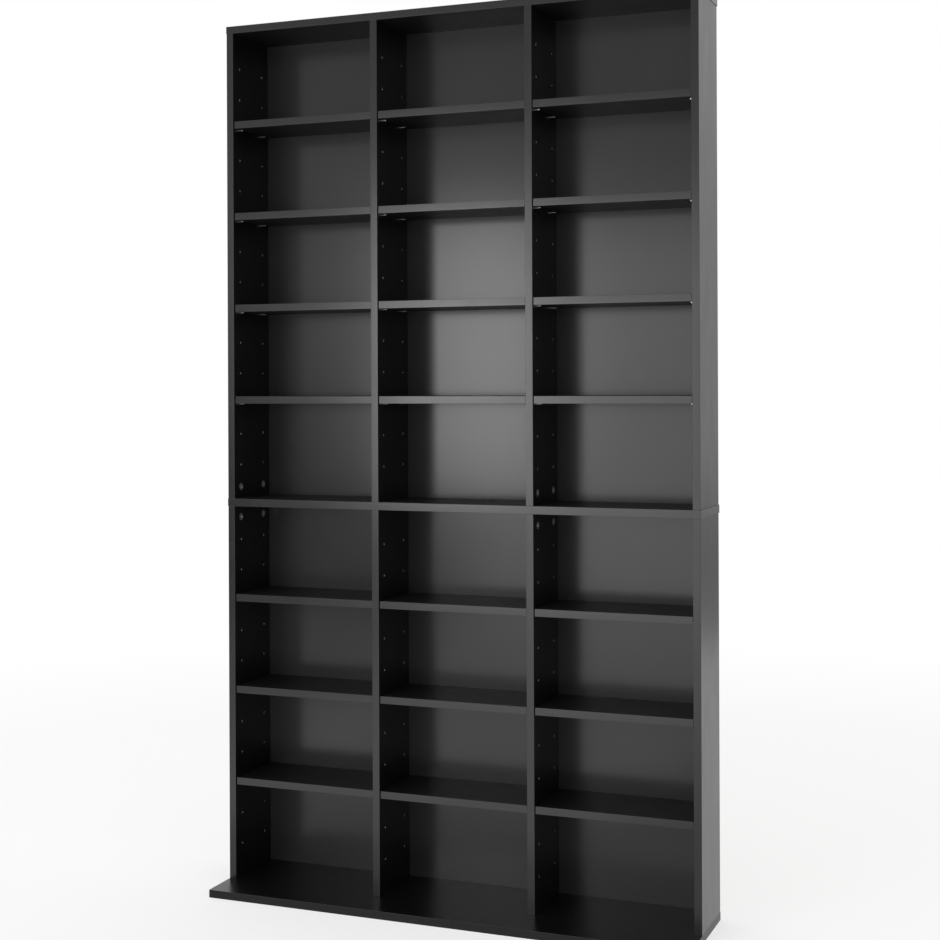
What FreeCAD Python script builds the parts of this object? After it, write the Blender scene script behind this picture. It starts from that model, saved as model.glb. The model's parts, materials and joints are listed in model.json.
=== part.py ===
import FreeCAD, Part
import math
import os
from collections import namedtuple

# An open cabinet for small cases: three columns of compartments, a board between its two
# bays, loose shelves on steel pins and thin panels nailed on behind.
# Sizes are in millimetres. +X is to the right seen from the front, +Y to the back, +Z up.
# Pieces are made with X from the left side's outer face, Y from the front plane of the
# uprights and Z from the floor, and are moved to the origin when they are written.

# Columns, from left to right
column_names = ("left", "middle", "right")
column_width = 316.0

# Uprights: a side, two dividers and a side, each in a lower and an upper length
upright_names = ("left_side", "left_divider", "right_divider", "right_side")
upright_thickness = 15.0
upright_depth = 150.0

# Boards across the whole width
base_thickness = 16.0
mid_thickness = 16.0
top_thickness = 15.0
base_lip = 84.0
board_end_overhang = 1.0

# Back panels, nailed to the rear edges of the uprights
back_thickness = 3.0
back_side_inset = 1.0
back_joint_gap = 1.0

# Rows of pin holes, and the shelves that use every third row
row_pitch = 64.0
rows_per_shelf = 3
row_end_room = 60.0
shelf_thickness = 15.0
shelf_end_gap = 1.0
shelf_front_setback = 3.0
shelf_rear_gap = 1.0
lower_shelf_count = 3
upper_shelf_count = 4

# Clear height under the lowest shelf of each bay and over the highest one
lower_floor_room = 197.0
upper_floor_room = 199.0
ceiling_room = 184.0

# Two lines of holes and fittings in each upright: one this far behind its front edge,
# the other this far before its rear edge
front_line = 27.0
rear_line_inset = 27.0

# Shelf pins, flat on top down to their middle, in blind holes that leave a web in the dividers
pin_hole_radius = 2.5
pin_clearance = 0.05
pin_reach = 8.2
pin_shoulder = 0.4
pin_end_gap = 0.2
pin_shelf_gap = 0.25
pin_bevel = 0.4
divider_web = 1.0

# Cam fittings, which draw the uprights against the mid board
cam_hole_radius = 7.5
cam_setback = 24.0
cam_web = 2.5
cam_clearance = 0.1
cam_sink = 0.3
cam_rim = 1.8
cam_cross_length = 9.0
cam_cross_width = 1.6
cam_cross_depth = 2.2

# Double-ended bolts between a lower and an upper cam
bolt_radius = 3.5
bolt_neck_radius = 2.2
bolt_head_radius = 3.2
bolt_head_length = 2.4
bolt_clearance = 0.25

# Wood dowels at the middle of each upright's ends
dowel_radius = 4.0
dowel_depth = 20.0
dowel_cover = 6.0
dowel_end_gap = 0.5
dowel_clearance = 0.05
dowel_bevel = 1.0

# Countersunk screws through the base and top boards
screw_length = 50.0
screw_radius = 2.5
screw_head_radius = 4.6
screw_sink = 0.3
screw_tip_length = 4.0
screw_clearance = 0.05
screw_cross_length = 4.8
screw_cross_width = 1.0
screw_cross_depth = 2.0

# Nails through the back panels
nail_length = 20.0
nail_radius = 0.7
nail_head_radius = 1.5
nail_tip_length = 2.0
nail_clearance = 0.05
nail_spacing = 150.0
nail_end_room = 40.0

# How far a cutting tool runs past the face that it enters
overrun = 1.0

# Directions
left = FreeCAD.Vector(-1, 0, 0)
right = FreeCAD.Vector(1, 0, 0)
front = FreeCAD.Vector(0, -1, 0)
up = FreeCAD.Vector(0, 0, 1)
down = FreeCAD.Vector(0, 0, -1)

# Sizes that follow from the ones above
column_pitch = column_width + upright_thickness
cabinet_width = len(column_names) * column_pitch + upright_thickness
cabinet_depth = base_lip + upright_depth + back_thickness
shelf_width = column_width - 2 * shelf_end_gap
shelf_depth = upright_depth - shelf_front_setback - shelf_rear_gap
shelf_pitch = rows_per_shelf * row_pitch
rear_line = upright_depth - rear_line_inset
middle_line = (front_line + rear_line) / 2
pin_radius = pin_hole_radius - pin_clearance
pin_hole_depth = (upright_thickness - divider_web) / 2
cam_hole_depth = upright_thickness - cam_web
cam_radius = cam_hole_radius - cam_clearance

Bay = namedtuple("Bay", "name floor ceiling undersides rows")


def make_bay(name, floor, floor_room, shelf_count):
    """The heights of one bay: its floor and ceiling, its shelves and its rows of holes."""
    undersides = [floor + floor_room + step * shelf_pitch for step in range(shelf_count)]
    ceiling = undersides[-1] + shelf_thickness + ceiling_room
    first_shelf_row = undersides[0] - pin_shelf_gap
    rows_below = math.floor((first_shelf_row - floor - row_end_room) / row_pitch)
    lowest_row = first_shelf_row - rows_below * row_pitch
    row_count = math.floor((ceiling - row_end_room - lowest_row) / row_pitch) + 1
    rows = [lowest_row + step * row_pitch for step in range(row_count)]
    return Bay(name, floor, ceiling, undersides, rows)


lower_bay = make_bay("lower", base_thickness, lower_floor_room, lower_shelf_count)
upper_bay = make_bay("upper", lower_bay.ceiling + mid_thickness, upper_floor_room, upper_shelf_count)
bays = (lower_bay, upper_bay)


def board(x, y, z, width, depth, height):
    """A square-cut board with its lowest corner at x, y, z."""
    return Part.makeBox(width, depth, height, FreeCAD.Vector(x, y, z))


def turned(outline, place, direction):
    """A round solid from (radius, distance along the axis) points, set at a place."""
    points = [FreeCAD.Vector(radius, 0, along) for radius, along in outline]
    face = Part.Face(Part.makePolygon(points + points[:1]))
    solid = face.revolve(FreeCAD.Vector(0, 0, 0), up, 360)
    solid.Placement = FreeCAD.Placement(place, FreeCAD.Rotation(up, direction))
    return solid


def blind_hole(place, direction, radius, depth):
    """The tool for a drilled hole that starts at a face and goes in."""
    return Part.makeCylinder(radius, depth + overrun, place - direction * overrun, direction)


def bevelled_rod(place, direction, radius, length, bevel):
    """A round rod with both ends bevelled."""
    outline = [
        (0, 0),
        (radius - bevel, 0),
        (radius, bevel),
        (radius, length - bevel),
        (radius - bevel, length),
        (0, length),
    ]
    return turned(outline, place, direction)


def flush_fastener(place, direction, length, radius, head_radius, tip_length):
    """A countersunk screw or nail: a cone head, a plain shank and a point."""
    head_length = head_radius - radius
    outline = [
        (0, 0),
        (head_radius, 0),
        (radius, head_length),
        (radius, length - tip_length),
        (0, length),
    ]
    return turned(outline, place, direction)


def flush_hole(place, direction, length, radius, head_radius, sink, clearance):
    """The tool for a flush fastener's hole, with its head sunk below the face."""
    wide = head_radius + clearance
    narrow = radius + clearance
    outline = [
        (0, -overrun),
        (wide, -overrun),
        (wide, sink),
        (narrow, sink + wide - narrow),
        (narrow, sink + length + clearance),
        (0, sink + length + clearance),
    ]
    return turned(outline, place, direction)


def cross_recess(centre, direction, length, width, depth):
    """The tool for a cross-shaped driver recess in a face, cut against the direction."""
    reach = depth + overrun
    arms = (
        Part.makeBox(length, width, reach, FreeCAD.Vector(-length / 2, -width / 2, -depth)),
        Part.makeBox(width, length, reach, FreeCAD.Vector(-width / 2, -length / 2, -depth)),
    )
    cross = arms[0].fuse(arms[1])
    cross.Placement = FreeCAD.Placement(centre, FreeCAD.Rotation(up, direction))
    return cross


def upright_left(index):
    """X of an upright's left face."""
    return index * column_pitch


def upright_middle(index):
    """X of the middle of an upright's thickness."""
    return upright_left(index) + upright_thickness / 2


def open_faces(index):
    """The faces of an upright that look into a column: (X of the face, direction into it)."""
    faces = []
    if index > 0:
        faces.append((upright_left(index), right))
    if index < len(column_names):
        faces.append((upright_left(index) + upright_thickness, left))
    return faces


def pin_hole_tools(index, bay):
    """The shelf pin holes of one upright in one bay."""
    return [
        blind_hole(FreeCAD.Vector(x, y, z), inward, pin_hole_radius, pin_hole_depth)
        for x, inward in open_faces(index)
        for y in (front_line, rear_line)
        for z in bay.rows
    ]


def cam_places(index, bay):
    """Cams of an upright: (centre on its face, direction in), on the side of the nearer end."""
    faces = open_faces(index)
    x, inward = faces[0] if 2 * index < len(column_names) else faces[-1]
    z = bay.ceiling - cam_setback if bay is lower_bay else bay.floor + cam_setback
    return [(FreeCAD.Vector(x, y, z), inward) for y in (front_line, rear_line)]


def cam_hole_tools(index, bay):
    """The round pockets of one upright's cams."""
    return [
        blind_hole(place, inward, cam_hole_radius, cam_hole_depth)
        for place, inward in cam_places(index, bay)
    ]


def bolt_hole_tools(index):
    """Holes for the bolts, from the lower cams up through the mid board to the upper ones."""
    start = lower_bay.ceiling - cam_setback
    length = upper_bay.floor + cam_setback - start
    x = upright_middle(index)
    return [
        Part.makeCylinder(bolt_radius + bolt_clearance, length, FreeCAD.Vector(x, y, start), up)
        for y in (front_line, rear_line)
    ]


def screw_places(index):
    """Faces where the screws go in: (place, direction in) under the base and on the top."""
    x = upright_middle(index)
    under = [(FreeCAD.Vector(x, y, 0), up) for y in (front_line, rear_line)]
    roof = upper_bay.ceiling + top_thickness
    over = [(FreeCAD.Vector(x, y, roof), down) for y in (front_line, rear_line)]
    return under + over


def screw_hole_tools(index):
    """The holes of one upright's screws, through the board and into the upright."""
    return [
        flush_hole(
            place, inward, screw_length, screw_radius, screw_head_radius, screw_sink, screw_clearance
        )
        for place, inward in screw_places(index)
    ]


def dowel_spans(index):
    """The dowels' holes of one upright: (X, lowest Z, highest Z) at base, mid and top board."""
    x = upright_middle(index)
    return [
        (x, dowel_cover, lower_bay.floor + dowel_depth),
        (x, lower_bay.ceiling - dowel_depth, upper_bay.floor + dowel_depth),
        (x, upper_bay.ceiling - dowel_depth, upper_bay.ceiling + top_thickness - dowel_cover),
    ]


def dowel_hole_tools(index):
    """The holes of one upright's dowels."""
    radius = dowel_radius + dowel_clearance
    return [
        Part.makeCylinder(radius, high - low, FreeCAD.Vector(x, middle_line, low), up)
        for x, low, high in dowel_spans(index)
    ]


def back_span(column):
    """X of the left and right edges of the back panels of one column."""
    seam = back_joint_gap / 2
    low = upright_middle(column) + seam
    high = upright_middle(column + 1) - seam
    if column == 0:
        low = back_side_inset
    if column == len(column_names) - 1:
        high = cabinet_width - back_side_inset
    return low, high


def nail_lines(column):
    """X of the two lines of nails of one column's back panels, halfway over the uprights."""
    low, high = back_span(column)
    return (
        (low + upright_left(column) + upright_thickness) / 2,
        (high + upright_left(column + 1)) / 2,
    )


def nail_heights(bay):
    """Z of the nails in one bay, evenly spread between its ends."""
    run = bay.ceiling - bay.floor - 2 * nail_end_room
    gaps = max(1, round(run / nail_spacing))
    return [bay.floor + nail_end_room + step * run / gaps for step in range(gaps + 1)]


def nail_places(column, bay):
    """Where the nails of one back panel enter its rear face."""
    rear = upright_depth + back_thickness
    return [FreeCAD.Vector(x, rear, z) for x in nail_lines(column) for z in nail_heights(bay)]


def nail_hole_tools(column, bay):
    """The holes of one back panel's nails."""
    return [
        flush_hole(place, front, nail_length, nail_radius, nail_head_radius, 0, nail_clearance)
        for place in nail_places(column, bay)
    ]


def upright(index, bay):
    """One length of a side or divider, with all its holes."""
    tools = pin_hole_tools(index, bay) + cam_hole_tools(index, bay)
    tools += bolt_hole_tools(index) + screw_hole_tools(index) + dowel_hole_tools(index)
    for column in (index - 1, index):
        if 0 <= column < len(column_names):
            tools += nail_hole_tools(column, bay)
    height = bay.ceiling - bay.floor
    blank = board(upright_left(index), 0, bay.floor, upright_thickness, upright_depth, height)
    near = [tool for tool in tools if tool.BoundBox.intersect(blank.BoundBox)]
    return blank.cut(near).Solids[0]


def across_board(x, y, z, width, depth, thickness, tool_maker):
    """A board across the whole width, with the holes over or under every upright."""
    blank = board(x, y, z, width, depth, thickness)
    tools = []
    for index in range(len(upright_names)):
        tools += tool_maker(index) + dowel_hole_tools(index)
    near = [tool for tool in tools if tool.BoundBox.intersect(blank.BoundBox)]
    return blank.cut(near).Solids[0]


def base_board():
    """The base, which stands out in front of the uprights as a lip."""
    return across_board(0, -base_lip, 0, cabinet_width, cabinet_depth, base_thickness, screw_hole_tools)


def mid_board():
    """The board between the two bays, which covers the edges of the back panels."""
    width = cabinet_width + 2 * board_end_overhang
    depth = upright_depth + back_thickness
    z = lower_bay.ceiling
    return across_board(-board_end_overhang, 0, z, width, depth, mid_thickness, bolt_hole_tools)


def top_board():
    """The top, as wide and deep as the mid board."""
    width = cabinet_width + 2 * board_end_overhang
    depth = upright_depth + back_thickness
    z = upper_bay.ceiling
    return across_board(-board_end_overhang, 0, z, width, depth, top_thickness, screw_hole_tools)


def shelf(column, underside):
    """A loose shelf, with a gap at each end, at the front and behind."""
    x = upright_left(column) + upright_thickness + shelf_end_gap
    return board(x, shelf_front_setback, underside, shelf_width, shelf_depth, shelf_thickness)


def back_panel(column, bay):
    """A thin panel between two boards, on the rear edges of two uprights."""
    low, high = back_span(column)
    height = bay.ceiling - bay.floor
    blank = board(low, upright_depth, bay.floor, high - low, back_thickness, height)
    return blank.cut(nail_hole_tools(column, bay)).Solids[0]


def shelf_pin(mouth, inward):
    """A pin in a hole with that mouth, with its upper half milled away outside a short shoulder."""
    tip = mouth - inward * pin_reach
    length = pin_reach + pin_hole_depth - pin_end_gap
    rod = bevelled_rod(tip, inward, pin_radius, length, pin_bevel)
    ends = (tip.x - inward.x * overrun, mouth.x - inward.x * pin_shoulder)
    room = pin_radius + overrun
    milled = board(min(ends), mouth.y - room, mouth.z, max(ends) - min(ends), 2 * room, room)
    return rod.cut(milled).Solids[0]


def shelf_pins():
    """Four pins under each shelf."""
    pins = []
    for index in range(len(upright_names)):
        for x, inward in open_faces(index):
            for bay in bays:
                for underside in bay.undersides:
                    for y in (front_line, rear_line):
                        mouth = FreeCAD.Vector(x, y, underside - pin_shelf_gap)
                        pins.append(shelf_pin(mouth, inward))
    return Part.makeCompound(pins)


def cam(face_centre, inward, towards_board):
    """A cam in its pocket: a hollow drum with a slot for the bolt's neck and a cross recess."""
    start = face_centre + inward * cam_sink
    thickness = cam_hole_depth - cam_sink - cam_clearance
    drum = Part.makeCylinder(cam_radius, thickness, start, inward)
    centre = face_centre + inward * (upright_thickness / 2)
    half_hollow = bolt_head_radius + bolt_clearance
    hollow = Part.makeCylinder(
        cam_radius - cam_rim, 2 * half_hollow, centre - inward * half_hollow, inward
    )
    slot_radius = bolt_neck_radius + bolt_clearance
    slot = Part.makeCylinder(slot_radius, cam_hole_radius, centre, towards_board)
    mouth = Part.makeCylinder(half_hollow, cam_hole_radius, centre, -towards_board)
    cross = cross_recess(start, -inward, cam_cross_length, cam_cross_width, cam_cross_depth)
    return drum.cut([hollow, slot, mouth, cross]).Solids[0]


def cams():
    """Every cam, under and over the mid board."""
    drums = []
    for index in range(len(upright_names)):
        for place, inward in cam_places(index, lower_bay):
            drums.append(cam(place, inward, up))
        for place, inward in cam_places(index, upper_bay):
            drums.append(cam(place, inward, down))
    return Part.makeCompound(drums)


def cam_bolts():
    """Bolts with a head at each end, each held in a lower and an upper cam."""
    hollow_radius = cam_radius - cam_rim
    head_top = math.sqrt(hollow_radius ** 2 - bolt_head_radius ** 2) - bolt_clearance
    span = 2 * cam_setback + mid_thickness
    shank_start = cam_hole_radius + bolt_clearance
    outline = [
        (0, head_top - bolt_head_length),
        (bolt_head_radius, head_top - bolt_head_length),
        (bolt_head_radius, head_top),
        (bolt_neck_radius, head_top),
        (bolt_neck_radius, shank_start),
        (bolt_radius, shank_start),
    ]
    outline += [(radius, span - along) for radius, along in reversed(outline)]
    start = lower_bay.ceiling - cam_setback
    bolts = [
        turned(outline, FreeCAD.Vector(upright_middle(index), y, start), up)
        for index in range(len(upright_names))
        for y in (front_line, rear_line)
    ]
    return Part.makeCompound(bolts)


def dowels():
    """A dowel at each end of each upright, and a long one through the mid board."""
    rods = []
    for index in range(len(upright_names)):
        for x, low, high in dowel_spans(index):
            place = FreeCAD.Vector(x, middle_line, low + dowel_end_gap)
            length = high - low - 2 * dowel_end_gap
            rods.append(bevelled_rod(place, up, dowel_radius, length, dowel_bevel))
    return Part.makeCompound(rods)


def assembly_screws():
    """Screws up through the base and down through the top into the uprights' ends."""
    screws = []
    for index in range(len(upright_names)):
        for face, inward in screw_places(index):
            place = face + inward * screw_sink
            plain = flush_fastener(
                place, inward, screw_length, screw_radius, screw_head_radius, screw_tip_length
            )
            cross = cross_recess(
                place, -inward, screw_cross_length, screw_cross_width, screw_cross_depth
            )
            screws.append(plain.cut(cross).Solids[0])
    return Part.makeCompound(screws)


def back_nails():
    """Nails flush with the rear of the back panels."""
    nails = [
        flush_fastener(place, front, nail_length, nail_radius, nail_head_radius, nail_tip_length)
        for column in range(len(column_names))
        for bay in bays
        for place in nail_places(column, bay)
    ]
    return Part.makeCompound(nails)


def make_parts():
    """Every piece by its name."""
    parts = {"base_board": base_board(), "mid_board": mid_board(), "top_board": top_board()}
    for index, name in enumerate(upright_names):
        for bay in bays:
            parts[f"{name}_{bay.name}"] = upright(index, bay)
    for column, name in enumerate(column_names):
        for bay in bays:
            parts[f"{name}_{bay.name}_back"] = back_panel(column, bay)
            for number, underside in enumerate(bay.undersides, start=1):
                parts[f"{name}_{bay.name}_shelf_{number}"] = shelf(column, underside)
    parts["shelf_pins"] = shelf_pins()
    parts["cams"] = cams()
    parts["cam_bolts"] = cam_bolts()
    parts["dowels"] = dowels()
    parts["assembly_screws"] = assembly_screws()
    parts["back_nails"] = back_nails()
    return parts


os.makedirs("parts", exist_ok=True)
to_origin = FreeCAD.Vector(-cabinet_width / 2, base_lip - cabinet_depth / 2, 0)
for name, shape in make_parts().items():
    shape.translate(to_origin)
    shape.exportStep(f"parts/{name}.step")
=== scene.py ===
import bmesh
import bpy
import json
import math
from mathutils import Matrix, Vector


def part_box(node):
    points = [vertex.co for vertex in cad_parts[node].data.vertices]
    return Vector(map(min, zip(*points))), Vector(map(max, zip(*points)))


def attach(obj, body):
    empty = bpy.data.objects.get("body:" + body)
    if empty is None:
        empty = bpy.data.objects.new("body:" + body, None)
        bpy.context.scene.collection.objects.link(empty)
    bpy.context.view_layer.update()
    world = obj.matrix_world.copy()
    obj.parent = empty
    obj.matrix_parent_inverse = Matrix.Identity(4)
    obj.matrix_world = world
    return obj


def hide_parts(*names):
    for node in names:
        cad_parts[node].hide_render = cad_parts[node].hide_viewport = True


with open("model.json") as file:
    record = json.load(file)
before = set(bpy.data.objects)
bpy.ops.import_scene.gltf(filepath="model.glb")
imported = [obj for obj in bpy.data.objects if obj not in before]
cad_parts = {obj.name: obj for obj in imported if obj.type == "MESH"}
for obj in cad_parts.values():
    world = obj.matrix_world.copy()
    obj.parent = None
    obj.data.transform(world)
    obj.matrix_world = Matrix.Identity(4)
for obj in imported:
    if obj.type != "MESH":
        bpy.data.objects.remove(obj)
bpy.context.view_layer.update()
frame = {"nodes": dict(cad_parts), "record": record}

# Everything is in metres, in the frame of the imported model: X to the right seen from the
# front, Y to the back, Z up from the floor. The scale of a texture is how many of its waves
# or cells fit in a metre.
micrometre = 0.000001

# Camera, fitted to the board edges in the photograph
photo_side = 940.0
focal_pixels = 1609.1
sensor_width_mm = 36.0
camera_place = Vector((1.21, -2.9862, 1.0471))
camera_turn = math.radians(21.588)
camera_roll = math.radians(0.232)
level = math.radians(90)
horizon_pixel = 385.38
farthest_seen = 100.0

# Boards. A point nearer to a side than touch lies on it, and points closer than weld become one.
edging_round = 0.0004
panel_round = 0.0002
round_steps = 3
sharp_angle = math.radians(40)
touch = 10 * micrometre
weld = micrometre

# Black films, which are melamine, edging and lacquer. Streaks are a hundred times as long as
# they are wide, and draw a shine out across them.
film_index = 1.5
face_roughness_range = 0.04
edging_roughness_range = 0.03
streak_stretch = 0.01
shine_draw = 0.3
lacquer_shine = 0.38

# Floor, whose glow grows to 1 from the fade's start to its end, at distances from the middle
floor_half = 3.5
floor_glow = 0.6
floor_fade_start = 2.0
floor_fade_end = 3.4

# Lamps, with a radiance on the scale where the white world's is 1
softbox_width = 0.74
softbox_height = 1.18
softbox_place = Vector((-1.35, -3.25, 1.2))
softbox_radiance = 5.602
screen_width = 1.48
screen_height = 1.72
screen_place = Vector((-0.68, -3.3, 0.88))
screen_radiance = 2.266
reflector_width = 1.3
reflector_length = 2.6
reflector_place = Vector((-0.5, -1.75, 0.01))
reflector_radiance = 0.573

# The even light that matt surfaces get from the world
plain_light = 1.0

# What reflections see of the studio beyond the floor: its grey at degrees above the horizon,
# towards the front, the front left and the back. A little below the horizon is a duller band.
front_greys = {-12: 1.0, -9: 0.45, -7: 0.42, -3.5: 0.42, -1: 0.5, 7: 1.0, 10: 0.86, 20: 0.5}
left_greys = {-12: 1.0, -9: 0.12, -7: 0.08, -3.5: 0.1, -1: 0.45, 3: 1.0, 8: 1.1, 12: 0.75, 20: 0.5}
back_greys = {-12: 0.98, -10: 0.8, -8.4: 0.34, -4.4: 0.34, -3.7: 0.72, 6: 0.72, 9: 0.82, 13: 0.95}

# The X and the Y of a direction between which one set of greys turns into the next
left_to_front_x = (-0.47, -0.39)
front_to_back_y = (-0.4, 0.4)


def look(name):
    """A new material with one Principled shader: the material, its node tree and that shader."""
    material = bpy.data.materials.new(name)
    material.use_nodes = True
    tree = material.node_tree
    tree.nodes.clear()
    output = tree.nodes.new("ShaderNodeOutputMaterial")
    shader = tree.nodes.new("ShaderNodeBsdfPrincipled")
    tree.links.new(shader.outputs["BSDF"], output.inputs["Surface"])
    return material, tree, shader


def fill(tree, shader, colour, roughness, surface):
    """Gives the shader a colour, a roughness and a relief that nodes work out."""
    tree.links.new(colour, shader.inputs["Base Color"])
    tree.links.new(roughness, shader.inputs["Roughness"])
    tree.links.new(surface, shader.inputs["Normal"])


def place(tree, stretch=(1.0, 1.0, 1.0)):
    """The point on the object in metres, stretched along each axis."""
    coordinates = tree.nodes.new("ShaderNodeTexCoord")
    mapping = tree.nodes.new("ShaderNodeMapping")
    mapping.inputs["Scale"].default_value = stretch
    tree.links.new(coordinates.outputs["Object"], mapping.inputs["Vector"])
    return mapping.outputs["Vector"]


def noise(tree, point, scale, detail=2.0, roughness=0.5):
    """Soft noise from 0 to 1."""
    node = tree.nodes.new("ShaderNodeTexNoise")
    node.inputs["Scale"].default_value = scale
    node.inputs["Detail"].default_value = detail
    node.inputs["Roughness"].default_value = roughness
    tree.links.new(point, node.inputs["Vector"])
    return node.outputs["Fac"]


def cells(tree, point, scale, output="Distance"):
    """Cells like chips or grains."""
    node = tree.nodes.new("ShaderNodeTexVoronoi")
    node.inputs["Scale"].default_value = scale
    tree.links.new(point, node.inputs["Vector"])
    return node.outputs[output]


def spread(tree, value, low, high, from_low=0.3, from_high=0.7):
    """A value moved from one range to another, kept inside it."""
    node = tree.nodes.new("ShaderNodeMapRange")
    node.inputs["From Min"].default_value = from_low
    node.inputs["From Max"].default_value = from_high
    node.inputs["To Min"].default_value = low
    node.inputs["To Max"].default_value = high
    tree.links.new(value, node.inputs["Value"])
    return node.outputs["Result"]


def sum_of(tree, first, second, share):
    """A share of the first value with the second added."""
    node = tree.nodes.new("ShaderNodeMath")
    node.operation = "MULTIPLY_ADD"
    tree.links.new(first, node.inputs[0])
    node.inputs[1].default_value = share
    tree.links.new(second, node.inputs[2])
    return node.outputs["Value"]


def of_two(tree, operation, first, second):
    """What a maths operation makes of two values."""
    node = tree.nodes.new("ShaderNodeMath")
    node.operation = operation
    tree.links.new(first, node.inputs[0])
    tree.links.new(second, node.inputs[1])
    return node.outputs["Value"]


def through_colours(tree, value, stops):
    """A colour that follows a value through (value, colour) stops."""
    node = tree.nodes.new("ShaderNodeValToRGB")
    elements = node.color_ramp.elements
    while len(elements) > 1:
        elements.remove(elements[0])
    for number, (position, colour) in enumerate(stops):
        stop = elements.new(position) if number else elements[0]
        stop.position = position
        stop.color = (*colour, 1.0)
    tree.links.new(value, node.inputs["Fac"])
    return node.outputs["Color"]


def blend_colours(tree, value, colours, from_low=0.3, from_high=0.7):
    """A colour that follows a value through evenly spaced colours."""
    gap = (from_high - from_low) / (len(colours) - 1)
    stops = [(from_low + number * gap, colour) for number, colour in enumerate(colours)]
    return through_colours(tree, value, stops)


def relief(tree, height, depth, below=None):
    """A bump of that depth, on top of another bump if one is given."""
    node = tree.nodes.new("ShaderNodeBump")
    node.inputs["Strength"].default_value = 1.0
    node.inputs["Distance"].default_value = depth
    tree.links.new(height, node.inputs["Height"])
    if below is not None:
        tree.links.new(below, node.inputs["Normal"])
    return node.outputs["Normal"]


def melamine(name, smoothest):
    """Black melamine faces: satin, with a fine grain and the faint waves of the board below."""
    material, tree, shader = look(name)
    point = place(tree)
    tone = noise(tree, point, scale=9.0, detail=3.0)
    wiping = noise(tree, place(tree, stretch=(1.0, 1.0, 0.35)), scale=26.0, detail=4.0, roughness=0.6)
    grain = noise(tree, point, scale=2200.0, detail=1.0)
    waves = noise(tree, point, scale=180.0, detail=1.0)
    shades = [(0.0022, 0.0022, 0.0023), (0.0036, 0.0035, 0.0036)]
    rough = spread(tree, wiping, low=smoothest, high=smoothest + face_roughness_range)
    surface = relief(tree, waves, depth=6 * micrometre)
    surface = relief(tree, grain, depth=6 * micrometre, below=surface)
    fill(tree, shader, blend_colours(tree, tone, shades), rough, surface)
    shader.inputs["IOR"].default_value = film_index
    return material


def edging(name, along, across, smoothest=0.23, shine=0.5):
    """The strip glued on edges, with faint streaks along one axis and a shine drawn out across them."""
    material, tree, shader = look(name)
    stretch = tuple(streak_stretch if axis == along else 1.0 for axis in "xyz")
    streaks = noise(tree, place(tree, stretch), scale=900.0)
    tone = noise(tree, place(tree), scale=14.0)
    shades = [(0.0035, 0.0035, 0.0036), (0.0065, 0.0064, 0.0064)]
    rough = spread(tree, tone, low=smoothest, high=smoothest + edging_roughness_range)
    surface = relief(tree, streaks, depth=6 * micrometre)
    fill(tree, shader, blend_colours(tree, streaks, shades), rough, surface)
    direction = tree.nodes.new("ShaderNodeCombineXYZ")
    direction.inputs[across.upper()].default_value = 1.0
    tree.links.new(direction.outputs["Vector"], shader.inputs["Tangent"])
    shader.inputs["Anisotropic"].default_value = shine_draw
    shader.inputs["IOR"].default_value = film_index
    shader.inputs["Specular IOR Level"].default_value = shine
    return material


def scraped_corner_with_painted_highlight():
    """The scraped corner between edging and face, a little duller, and paler partly from the scraped trim
    and partly as a painted highlight along the edge.
    """
    material, tree, shader = look("scraped corner with painted highlight")
    nicks = noise(tree, place(tree), scale=700.0, detail=4.0, roughness=0.7)
    # Paler than the faces: partly the scraped trim, partly a painted highlight for the bright line along
    # each board's corner.
    shades = [(0.012, 0.012, 0.012), (0.02, 0.02, 0.02), (0.035, 0.034, 0.033)]
    colour = blend_colours(tree, nicks, shades, from_low=0.35, from_high=0.75)
    rough = spread(tree, nicks, low=0.42, high=0.5)
    fill(tree, shader, colour, rough, relief(tree, nicks, depth=20 * micrometre))
    return material


def particle_board_with_painted_shade():
    """Particle board inside drilled holes and on sawn ends: its own chipped pattern, but darker and greyer
    than the bare board as painted shade in the holes, with gaps sunk in its relief.
    """
    material, tree, shader = look("particle board darkened as painted shade")
    point = place(tree)
    shade_darkened_chips = cells(tree, point, scale=620.0, output="Color")
    gaps = cells(tree, point, scale=620.0)
    fibres = noise(tree, point, scale=1500.0, detail=3.0)
    # These tones sit below the board's own pale tan: painted shade for the inside of the holes.
    tones = [(0.11, 0.1, 0.087), (0.2, 0.183, 0.16), (0.28, 0.258, 0.228)]
    colour = blend_colours(tree, shade_darkened_chips, tones, from_low=0.15, from_high=0.85)
    rough = spread(tree, fibres, low=0.78, high=0.92)
    surface = relief(tree, gaps, depth=100 * micrometre)
    surface = relief(tree, fibres, depth=50 * micrometre, below=surface)
    fill(tree, shader, colour, rough, surface)
    return material


def lacquered_hardboard():
    """The back panels' front: black lacquer over the faint pebble of pressed fibres."""
    material, tree, shader = look("black lacquered hardboard")
    point = place(tree)
    tone = noise(tree, point, scale=7.0, detail=3.0)
    pebble = noise(tree, point, scale=1100.0)
    sway = noise(tree, point, scale=4.0, detail=0.0)
    shades = [(0.018, 0.018, 0.018), (0.022, 0.022, 0.0218)]
    rough = spread(tree, pebble, low=0.18, high=0.2)
    surface = relief(tree, sway, depth=200 * micrometre)
    surface = relief(tree, pebble, depth=2.5 * micrometre, below=surface)
    fill(tree, shader, blend_colours(tree, tone, shades), rough, surface)
    shader.inputs["IOR"].default_value = film_index
    shader.inputs["Specular IOR Level"].default_value = lacquer_shine
    return material


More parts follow.
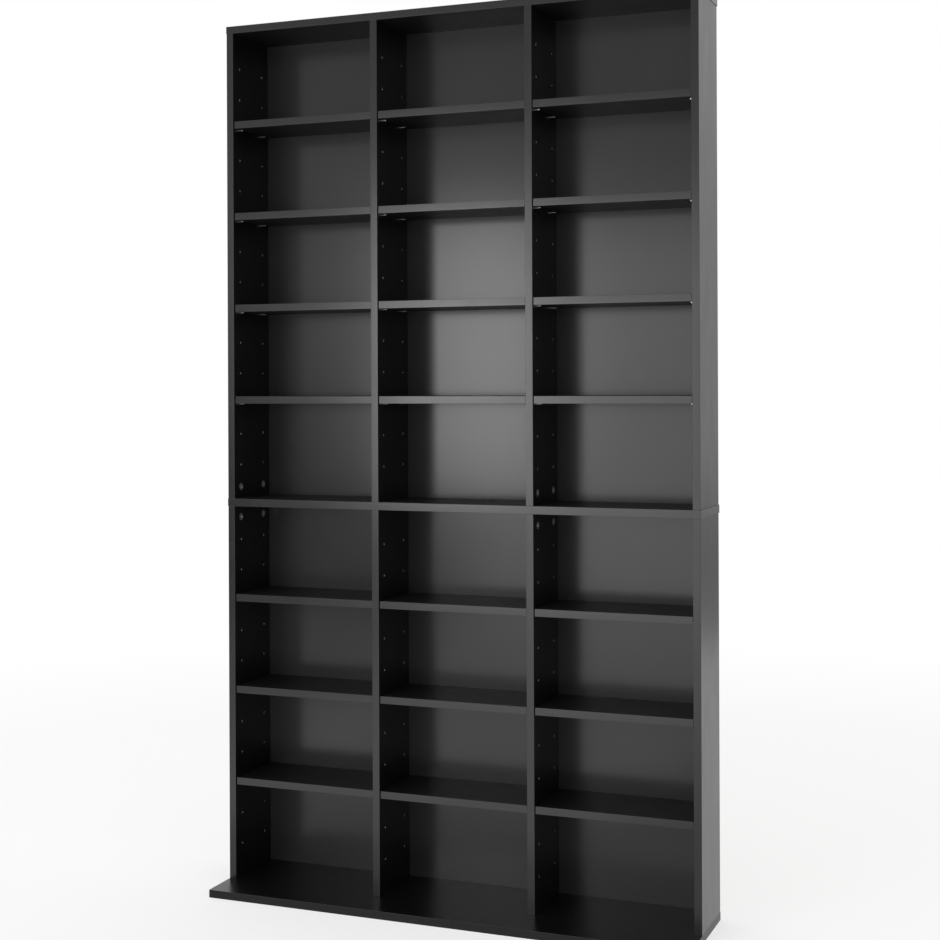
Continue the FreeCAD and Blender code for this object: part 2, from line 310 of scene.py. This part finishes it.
def bare_hardboard():
    """The back panels' rear and sawn edges: brown pressed fibres with darker clouds and specks."""
    material, tree, shader = look("bare hardboard")
    point = place(tree)
    fibres = noise(tree, place(tree, stretch=(1.0, 1.0, 0.5)), scale=500.0, detail=5.0, roughness=0.65)
    specks = cells(tree, point, scale=260.0)
    clouds = noise(tree, point, scale=5.0, detail=3.0)
    tones = [(0.15, 0.085, 0.042), (0.25, 0.152, 0.084), (0.35, 0.23, 0.138)]
    cloudy_fibres = sum_of(tree, clouds, spread(tree, fibres, low=0.18, high=0.6), share=0.22)
    rough = spread(tree, fibres, low=0.66, high=0.8)
    surface = relief(tree, specks, depth=30 * micrometre)
    surface = relief(tree, fibres, depth=30 * micrometre, below=surface)
    fill(tree, shader, blend_colours(tree, cloudy_fibres, tones), rough, surface)
    return material


def metal(name, dark, light, bright, dull, scale, depth, stretch=(1.0, 1.0, 1.0)):
    """A metal with stains in its colour, and streaks or grains in its relief and roughness."""
    material, tree, shader = look(name)
    marks = noise(tree, place(tree, stretch), scale, detail=3.0)
    stains = noise(tree, place(tree), scale=60.0, detail=3.0)
    rough = spread(tree, marks, low=bright, high=dull)
    fill(tree, shader, blend_colours(tree, stains, [dark, light]), rough, relief(tree, marks, depth))
    shader.inputs["Metallic"].default_value = 1.0
    return material


def beech():
    """Bare beech dowels: grain along their length with short darker flecks."""
    material, tree, shader = look("bare beech")
    grain = noise(tree, place(tree, stretch=(1.0, 1.0, 0.06)), scale=1200.0, detail=4.0, roughness=0.6)
    flecks = noise(tree, place(tree, stretch=(1.0, 1.0, 0.25)), scale=1800.0, detail=1.0)
    tones = [(0.4, 0.24, 0.13), (0.58, 0.4, 0.24), (0.68, 0.5, 0.32)]
    rough = spread(tree, flecks, low=0.5, high=0.68)
    fill(tree, shader, blend_colours(tree, grain, tones), rough, relief(tree, grain, depth=40 * micrometre))
    return material


def outer_side(face, low, high):
    """The outer side that a face lies on, such as "-y", or None for a face inside a hole."""
    for axis, letter in enumerate("xyz"):
        for sign, limit in (("-", low[axis]), ("+", high[axis])):
            if all(abs(vert.co[axis] - limit) < touch for vert in face.verts):
                return sign + letter
    return None


def is_outer_edge(edge, low, high):
    """Whether an edge is one of the twelve where two outer sides meet."""
    sides = 0
    for axis in range(3):
        for limit in (low[axis], high[axis]):
            sides += all(abs(vert.co[axis] - limit) < touch for vert in edge.verts)
    return sides == 2


def round_outer_edges(mesh, low, high, radius, corner_number):
    """Rounds the twelve outer edges, and gives the new faces the corner's material number."""
    bmesh.ops.bevel(
        mesh,
        geom=[edge for edge in mesh.edges if is_outer_edge(edge, low, high)],
        offset=radius,
        offset_type="OFFSET",
        segments=round_steps,
        profile=0.5,
        affect="EDGES",
        clamp_overlap=False,
        material=corner_number,
    )


def shade_smoothly(mesh):
    """Smooth shading over gentle edges, and creases at sharp ones."""
    for face in mesh.faces:
        face.smooth = True
    for edge in mesh.edges:
        edge.smooth = len(edge.link_faces) == 2 and edge.calc_face_angle() < sharp_angle


def dressed(node, body, sides, corner, inside, radius):
    """A board over a node, with rounded outer edges and its own material on each side."""
    materials = list(dict.fromkeys([*sides.values(), corner, inside]))
    low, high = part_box(node)
    mesh = bmesh.new()
    mesh.from_mesh(frame["nodes"][node].data)
    bmesh.ops.remove_doubles(mesh, verts=mesh.verts, dist=weld)
    for face in mesh.faces:
        face.material_index = materials.index(sides.get(outer_side(face, low, high), inside))
    round_outer_edges(mesh, low, high, radius, materials.index(corner))
    shade_smoothly(mesh)
    data = bpy.data.meshes.new(node + "_faced")
    mesh.to_mesh(data)
    mesh.free()
    for material in materials:
        data.materials.append(material)
    piece = bpy.data.objects.new(node + "_faced", data)
    bpy.context.scene.collection.objects.link(piece)
    even = piece.modifiers.new("even shading", "WEIGHTED_NORMAL")
    even.keep_sharp = True
    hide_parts(node)
    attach(piece, body)


def dress_boards():
    """Every black board and back panel."""
    face = melamine("black melamine", smoothest=0.28)
    worn = melamine("black melamine dulled by use", smoothest=0.44)
    edging_x = edging("edging across", along="x", across="z")
    edging_y = edging("edging on ends", along="y", across="z")
    edging_z = edging("edging upright", along="z", across="x")
    dull_x = edging("dull edging across", along="x", across="z", smoothest=0.48, shine=0.25)
    dull_y = edging("dull edging on ends", along="y", across="z", smoothest=0.38, shine=0.4)
    # The rounded corners get a paler material that is partly a painted highlight.
    corner = scraped_corner_with_painted_highlight()
    # Holes and sawn ends get particle board darkened as painted shade.
    shade_darkened_chips = particle_board_with_painted_shade()
    lacquer = lacquered_hardboard()
    bare = bare_hardboard()
    lying = {"-z": worn, "+z": worn, "-y": edging_x, "+y": edging_x, "-x": edging_y, "+x": edging_y}
    base = {**lying, "+z": face, "-y": dull_x, "+y": dull_x, "-x": dull_y, "+x": dull_y}
    standing = {"-x": face, "+x": face, "-y": edging_z, "+y": edging_z, "-z": shade_darkened_chips, "+z": shade_darkened_chips}
    panel = {side: bare for side in ("+y", "-x", "+x", "-z", "+z")}
    panel["-y"] = lacquer
    for body, nodes in frame["record"]["behaviour"]["bodies"].items():
        for node in nodes:
            if node.endswith("_back"):
                dressed(node, body, panel, lacquer, bare, panel_round)
            elif node == "base_board":
                dressed(node, body, base, corner, shade_darkened_chips, edging_round)
            elif node.endswith("_board") or "_shelf_" in node:
                dressed(node, body, lying, corner, shade_darkened_chips, edging_round)
            elif node.endswith(("_lower", "_upper")):
                dressed(node, body, standing, corner, shade_darkened_chips, edging_round)


def nickel():
    """The shelf pins' nickel plating, with fine turning lines."""
    return metal(
        "nickel plated steel",
        dark=(0.56, 0.54, 0.5),
        light=(0.68, 0.66, 0.62),
        bright=0.2,
        dull=0.34,
        scale=6000.0,
        depth=10 * micrometre,
        stretch=(1.0, 0.05, 0.05),
    )


def zinc():
    """The cams' die cast zinc."""
    return metal(
        "die cast zinc",
        dark=(0.62, 0.63, 0.64),
        light=(0.75, 0.75, 0.76),
        bright=0.38,
        dull=0.52,
        scale=900.0,
        depth=40 * micrometre,
    )


def bright_plate():
    """The cam bolts' zinc plating."""
    return metal(
        "bright zinc plate",
        dark=(0.5, 0.53, 0.57),
        light=(0.66, 0.68, 0.7),
        bright=0.22,
        dull=0.36,
        scale=1400.0,
        depth=10 * micrometre,
    )


def blue_plate():
    """The screws' zinc plating, a little bluer."""
    return metal(
        "blue zinc plate",
        dark=(0.45, 0.49, 0.56),
        light=(0.62, 0.65, 0.7),
        bright=0.25,
        dull=0.4,
        scale=1400.0,
        depth=10 * micrometre,
    )


def wire():
    """The nails' bare wire, with drawing lines along it."""
    return metal(
        "drawn steel wire",
        dark=(0.38, 0.37, 0.36),
        light=(0.52, 0.51, 0.5),
        bright=0.3,
        dull=0.45,
        scale=2600.0,
        depth=10 * micrometre,
        stretch=(1.0, 0.04, 1.0),
    )


def dress_fittings():
    """Materials for the pins, cams, bolts, dowels, screws and nails, which keep their own shapes."""
    looks = {
        "shelf_pins": nickel(),
        "cams": zinc(),
        "cam_bolts": bright_plate(),
        "assembly_screws": blue_plate(),
        "back_nails": wire(),
        "dowels": beech(),
    }
    for node, material in looks.items():
        frame["nodes"][node].material_slots[0].material = material


def add_camera():
    """The photograph's camera: level, with its frame shifted to the horizon's line."""
    data = bpy.data.cameras.new("camera")
    data.sensor_width = sensor_width_mm
    data.lens = sensor_width_mm * focal_pixels / photo_side
    data.shift_y = (horizon_pixel - photo_side / 2) / photo_side
    data.clip_end = farthest_seen
    camera = bpy.data.objects.new("camera", data)
    bpy.context.scene.collection.objects.link(camera)
    camera.location = camera_place
    camera.rotation_euler = (level, camera_roll, camera_turn)
    bpy.context.scene.camera = camera


def seen_directly(tree):
    """1 for rays from the camera, from a reflection or through glass, and 0 for diffuse light."""
    path = tree.nodes.new("ShaderNodeLightPath")
    seen = of_two(tree, "MAXIMUM", path.outputs["Is Camera Ray"], path.outputs["Is Glossy Ray"])
    return of_two(tree, "MAXIMUM", seen, path.outputs["Is Transmission Ray"])


def mixed_shaders(tree, factor, first, second):
    """The first shader where the factor is 0 and the second where it is 1."""
    node = tree.nodes.new("ShaderNodeMixShader")
    tree.links.new(factor, node.inputs["Fac"])
    tree.links.new(first, node.inputs[1])
    tree.links.new(second, node.inputs[2])
    return node.outputs["Shader"]


def white_floor():
    """Matt white, which the camera and reflections see glowing, fully so at the floor's rim."""
    material, tree, shader = look("white floor")
    clouds = noise(tree, place(tree), scale=0.7)
    shades = [(0.86, 0.86, 0.86), (0.88, 0.88, 0.88)]
    tree.links.new(blend_colours(tree, clouds, shades), shader.inputs["Base Color"])
    tree.links.new(spread(tree, clouds, low=0.7, high=0.8), shader.inputs["Roughness"])
    shader.inputs["Specular IOR Level"].default_value = 0.0
    glow = tree.nodes.new("ShaderNodeEmission")
    glow.inputs["Strength"].default_value = 1.0
    distance = tree.nodes.new("ShaderNodeVectorMath")
    distance.operation = "LENGTH"
    tree.links.new(place(tree), distance.inputs[0])
    fade = spread(tree, distance.outputs["Value"], floor_glow, 1.0, floor_fade_start, floor_fade_end)
    share = of_two(tree, "MULTIPLY", seen_directly(tree), fade)
    surface = mixed_shaders(tree, share, shader.outputs["BSDF"], glow.outputs["Emission"])
    output = next(node for node in tree.nodes if node.type == "OUTPUT_MATERIAL")
    tree.links.new(surface, output.inputs["Surface"])
    return material


def add_floor():
    """A plain white square under the cabinet."""
    mesh = bmesh.new()
    corners = [(-floor_half, -floor_half, 0), (floor_half, -floor_half, 0)]
    corners += [(floor_half, floor_half, 0), (-floor_half, floor_half, 0)]
    mesh.faces.new([mesh.verts.new(corner) for corner in corners])
    data = bpy.data.meshes.new("studio_floor")
    mesh.to_mesh(data)
    mesh.free()
    data.materials.append(white_floor())
    floor = bpy.data.objects.new("studio_floor", data)
    bpy.context.scene.collection.objects.link(floor)


def by_height(tree, height, greys):
    """A grey by the height of a direction, 0 straight down and 1 straight up, from greys at degrees."""
    stops = []
    for angle, grey in greys.items():
        stops.append(((1 + math.sin(math.radians(angle))) / 2, (grey, grey, grey)))
    return through_colours(tree, height, stops)


def mixed_colours(tree, factor, first, second):
    """The first colour where the factor is 0 and the second where it is 1."""
    node = tree.nodes.new("ShaderNodeMix")
    node.data_type = "RGBA"
    tree.links.new(factor, node.inputs["Factor"])
    for side, colour in (("A", first), ("B", second)):
        colour_inputs = [entry for entry in node.inputs if entry.name == side and entry.type == "RGBA"]
        tree.links.new(colour, colour_inputs[0])
    return next(entry for entry in node.outputs if entry.type == "RGBA")


def beyond_the_floor(tree):
    """The grey of the studio that a reflection sees, by its direction in the room."""
    coordinates = tree.nodes.new("ShaderNodeTexCoord")
    parts = tree.nodes.new("ShaderNodeSeparateXYZ")
    tree.links.new(coordinates.outputs["Generated"], parts.inputs["Vector"])
    height = spread(tree, parts.outputs["Z"], 0.0, 1.0, from_low=-1.0, from_high=1.0)
    rightward = spread(tree, parts.outputs["X"], 0.0, 1.0, *left_to_front_x)
    rearward = spread(tree, parts.outputs["Y"], 0.0, 1.0, *front_to_back_y)
    left = by_height(tree, height, left_greys)
    front = by_height(tree, height, front_greys)
    back = by_height(tree, height, back_greys)
    ahead = mixed_colours(tree, rightward, left, front)
    return mixed_colours(tree, rearward, ahead, back)


def background(tree, strength):
    """A white background of that strength."""
    node = tree.nodes.new("ShaderNodeBackground")
    node.inputs["Color"].default_value = (1.0, 1.0, 1.0, 1.0)
    node.inputs["Strength"].default_value = strength
    return node


def add_world():
    """White for the camera, the studio's greys for reflections, and plain soft light for the rest."""
    world = bpy.data.worlds.new("studio")
    bpy.context.scene.world = world
    world.use_nodes = True
    tree = world.node_tree
    tree.nodes.clear()
    output = tree.nodes.new("ShaderNodeOutputWorld")
    light = background(tree, plain_light)
    white = background(tree, 1.0)
    greys = background(tree, 1.0)
    tree.links.new(beyond_the_floor(tree), greys.inputs["Color"])
    path = tree.nodes.new("ShaderNodeLightPath")
    lit = light.outputs["Background"]
    lit_or_mirrored = mixed_shaders(tree, seen_directly(tree), lit, greys.outputs["Background"])
    from_camera = path.outputs["Is Camera Ray"]
    surface = mixed_shaders(tree, from_camera, lit_or_mirrored, white.outputs["Background"])
    tree.links.new(surface, output.inputs["Surface"])


def add_lamp(name, width, height, lamp_place, facing, radiance):
    """A rectangular lamp that faces one way, has that radiance and isn't seen by the camera."""
    data = bpy.data.lights.new(name, "AREA")
    data.shape = "RECTANGLE"
    data.size = width
    data.size_y = height
    data.energy = math.pi * radiance * width * height
    lamp = bpy.data.objects.new(name, data)
    bpy.context.scene.collection.objects.link(lamp)
    lamp.location = lamp_place
    lamp.rotation_euler = facing.to_track_quat("-Z", "Y").to_euler()
    lamp.visible_camera = False


def add_lamps():
    """A softbox to the front left, a wider dim screen beside it and a pale reflector on the floor."""
    ahead = Vector((0.0, 1.0, 0.0))
    above = Vector((0.0, 0.0, 1.0))
    add_lamp("softbox", softbox_width, softbox_height, softbox_place, ahead, softbox_radiance)
    add_lamp("screen", screen_width, screen_height, screen_place, ahead, screen_radiance)
    add_lamp("reflector", reflector_width, reflector_length, reflector_place, above, reflector_radiance)


dress_boards()
dress_fittings()
add_camera()
add_floor()
add_world()
add_lamps()

bpy.context.scene.view_settings.view_transform = "Standard"
